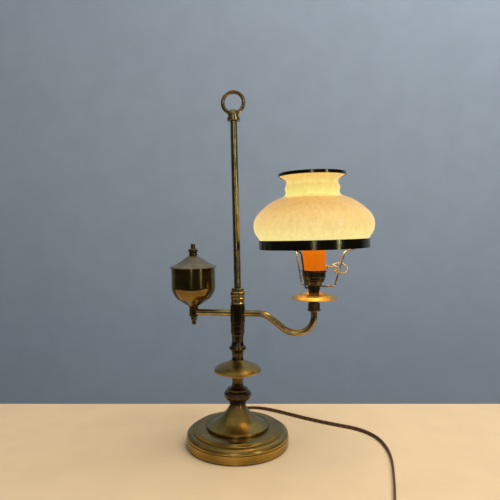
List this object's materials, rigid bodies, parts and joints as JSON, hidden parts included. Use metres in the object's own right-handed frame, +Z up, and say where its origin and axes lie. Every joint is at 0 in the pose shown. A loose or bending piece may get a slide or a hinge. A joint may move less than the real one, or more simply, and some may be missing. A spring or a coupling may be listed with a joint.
{
  "type": "student desk lamp",
  "caption": "Brass student-style desk lamp: round weighted base, turned column with carry ring, turning cross arm with dummy oil font and an opal glass shade.",
  "frame": {"origin": "centre of the felt's underside, on the column's axis", "axes": "+Z up the column, +X towards the shade, +Y away from the viewer of the picture"},
  "size_m": [0.3045, 0.4315, 0.4941],
  "materials": {
    "aged_brass": "aged, dark patina under old lacquer, polished highlights",
    "dark_band": "nearly black patina with a worn light edge",
    "cast_weight": "sand cast, unpainted",
    "felt": "pressed felt",
    "steel": "plain turned steel",
    "wire_insulation": "smooth insulation",
    "cord_jacket": "dark brown, matte",
    "plug_plastic": "dark brown moulding",
    "blade_brass": "plain",
    "tie_plastic": "matte",
    "socket_porcelain": "white glaze",
    "socket_metal": "pressed, plain",
    "sleeve_brass": "thin bright brass, lit orange by the bulb",
    "chain_brass": "bright beads",
    "opal_glass": "opal, satin, lit from inside",
    "bulb_glass": "frosted"
  },
  "bodies": {
    "stand": {"base_felt": "felt", "base_shell": "aged_brass", "base_weight": "cast_weight", "base_washer": "steel", "base_nut": "steel", "base_bell": "aged_brass", "center_pipe": "steel", "column_wire": "wire_insulation", "lower_knop": "aged_brass", "lower_spool": "aged_brass", "saucer_under": "aged_brass", "saucer_top": "aged_brass", "collar_spool": "aged_brass", "lower_ferrule": "aged_brass", "swivel_washers": "steel", "upper_ferrule": "aged_brass", "pipe_top_nut": "steel", "pole_bushing": "aged_brass", "pole": "aged_brass", "pole_collar": "aged_brass", "carry_ring": "aged_brass", "strain_relief": "cord_jacket", "power_cord": "cord_jacket", "cord_coil": "cord_jacket", "cord_tie": "tie_plastic", "plug_body": "plug_plastic", "plug_blades": "blade_brass"},
    "arm": {"arm_carrier": "aged_brass", "font_arm_tube": "aged_brass", "font_coupling": "aged_brass", "font_body": "aged_brass", "font_lid": "aged_brass", "font_knob": "aged_brass", "font_finial": "aged_brass", "font_rod": "steel", "lamp_arm_tube": "aged_brass", "arm_wire": "wire_insulation", "arm_cup": "aged_brass", "burner_nipple": "steel", "drip_tray": "aged_brass", "burner_stem": "aged_brass", "spider_hub": "dark_band", "spider_wire_right": "dark_band", "spider_wire_back": "dark_band", "spider_wire_front": "dark_band", "shade_band": "dark_band", "socket_cap": "dark_band", "burner_nut": "steel", "socket_insulator": "socket_porcelain", "terminal_screws": "blade_brass", "socket_contact": "blade_brass", "socket_screw_shell": "socket_metal", "socket_sleeve": "sleeve_brass", "chain_bellmouth": "blade_brass"},
    "chain": {"pull_chain": "chain_brass"},
    "shade": {"shade_glass": "opal_glass", "shade_rim": "dark_band"},
    "bulb": {"bulb_contact": "blade_brass", "bulb_base": "socket_metal", "bulb_glass": "bulb_glass"}
  },
  "joints": [
    {"name": "arm_swivel", "type": "hinge", "parent": "stand", "child": "arm", "pos_m": [0, 0, 0], "axis": [0, 0, 1], "range_deg": [-75, 75]},
    {"name": "chain_pull", "type": "slide", "parent": "arm", "child": "chain", "axis": [0.9903, 0.1392, 0], "range_m": [0, 0.0045], "stiffness_N_per_m": 400, "springref_m": -0.002},
    {"name": "shade_lift", "type": "slide", "parent": "arm", "child": "shade", "axis": [-0.0279, 0, 0.9996], "range_m": [0, 0.12]},
    {"name": "bulb_turn", "type": "hinge", "parent": "arm", "child": "bulb", "pos_m": [0.106, 0, 0.26], "axis": [0, 0, 1], "range_deg": [0, 1080]}
  ]
}
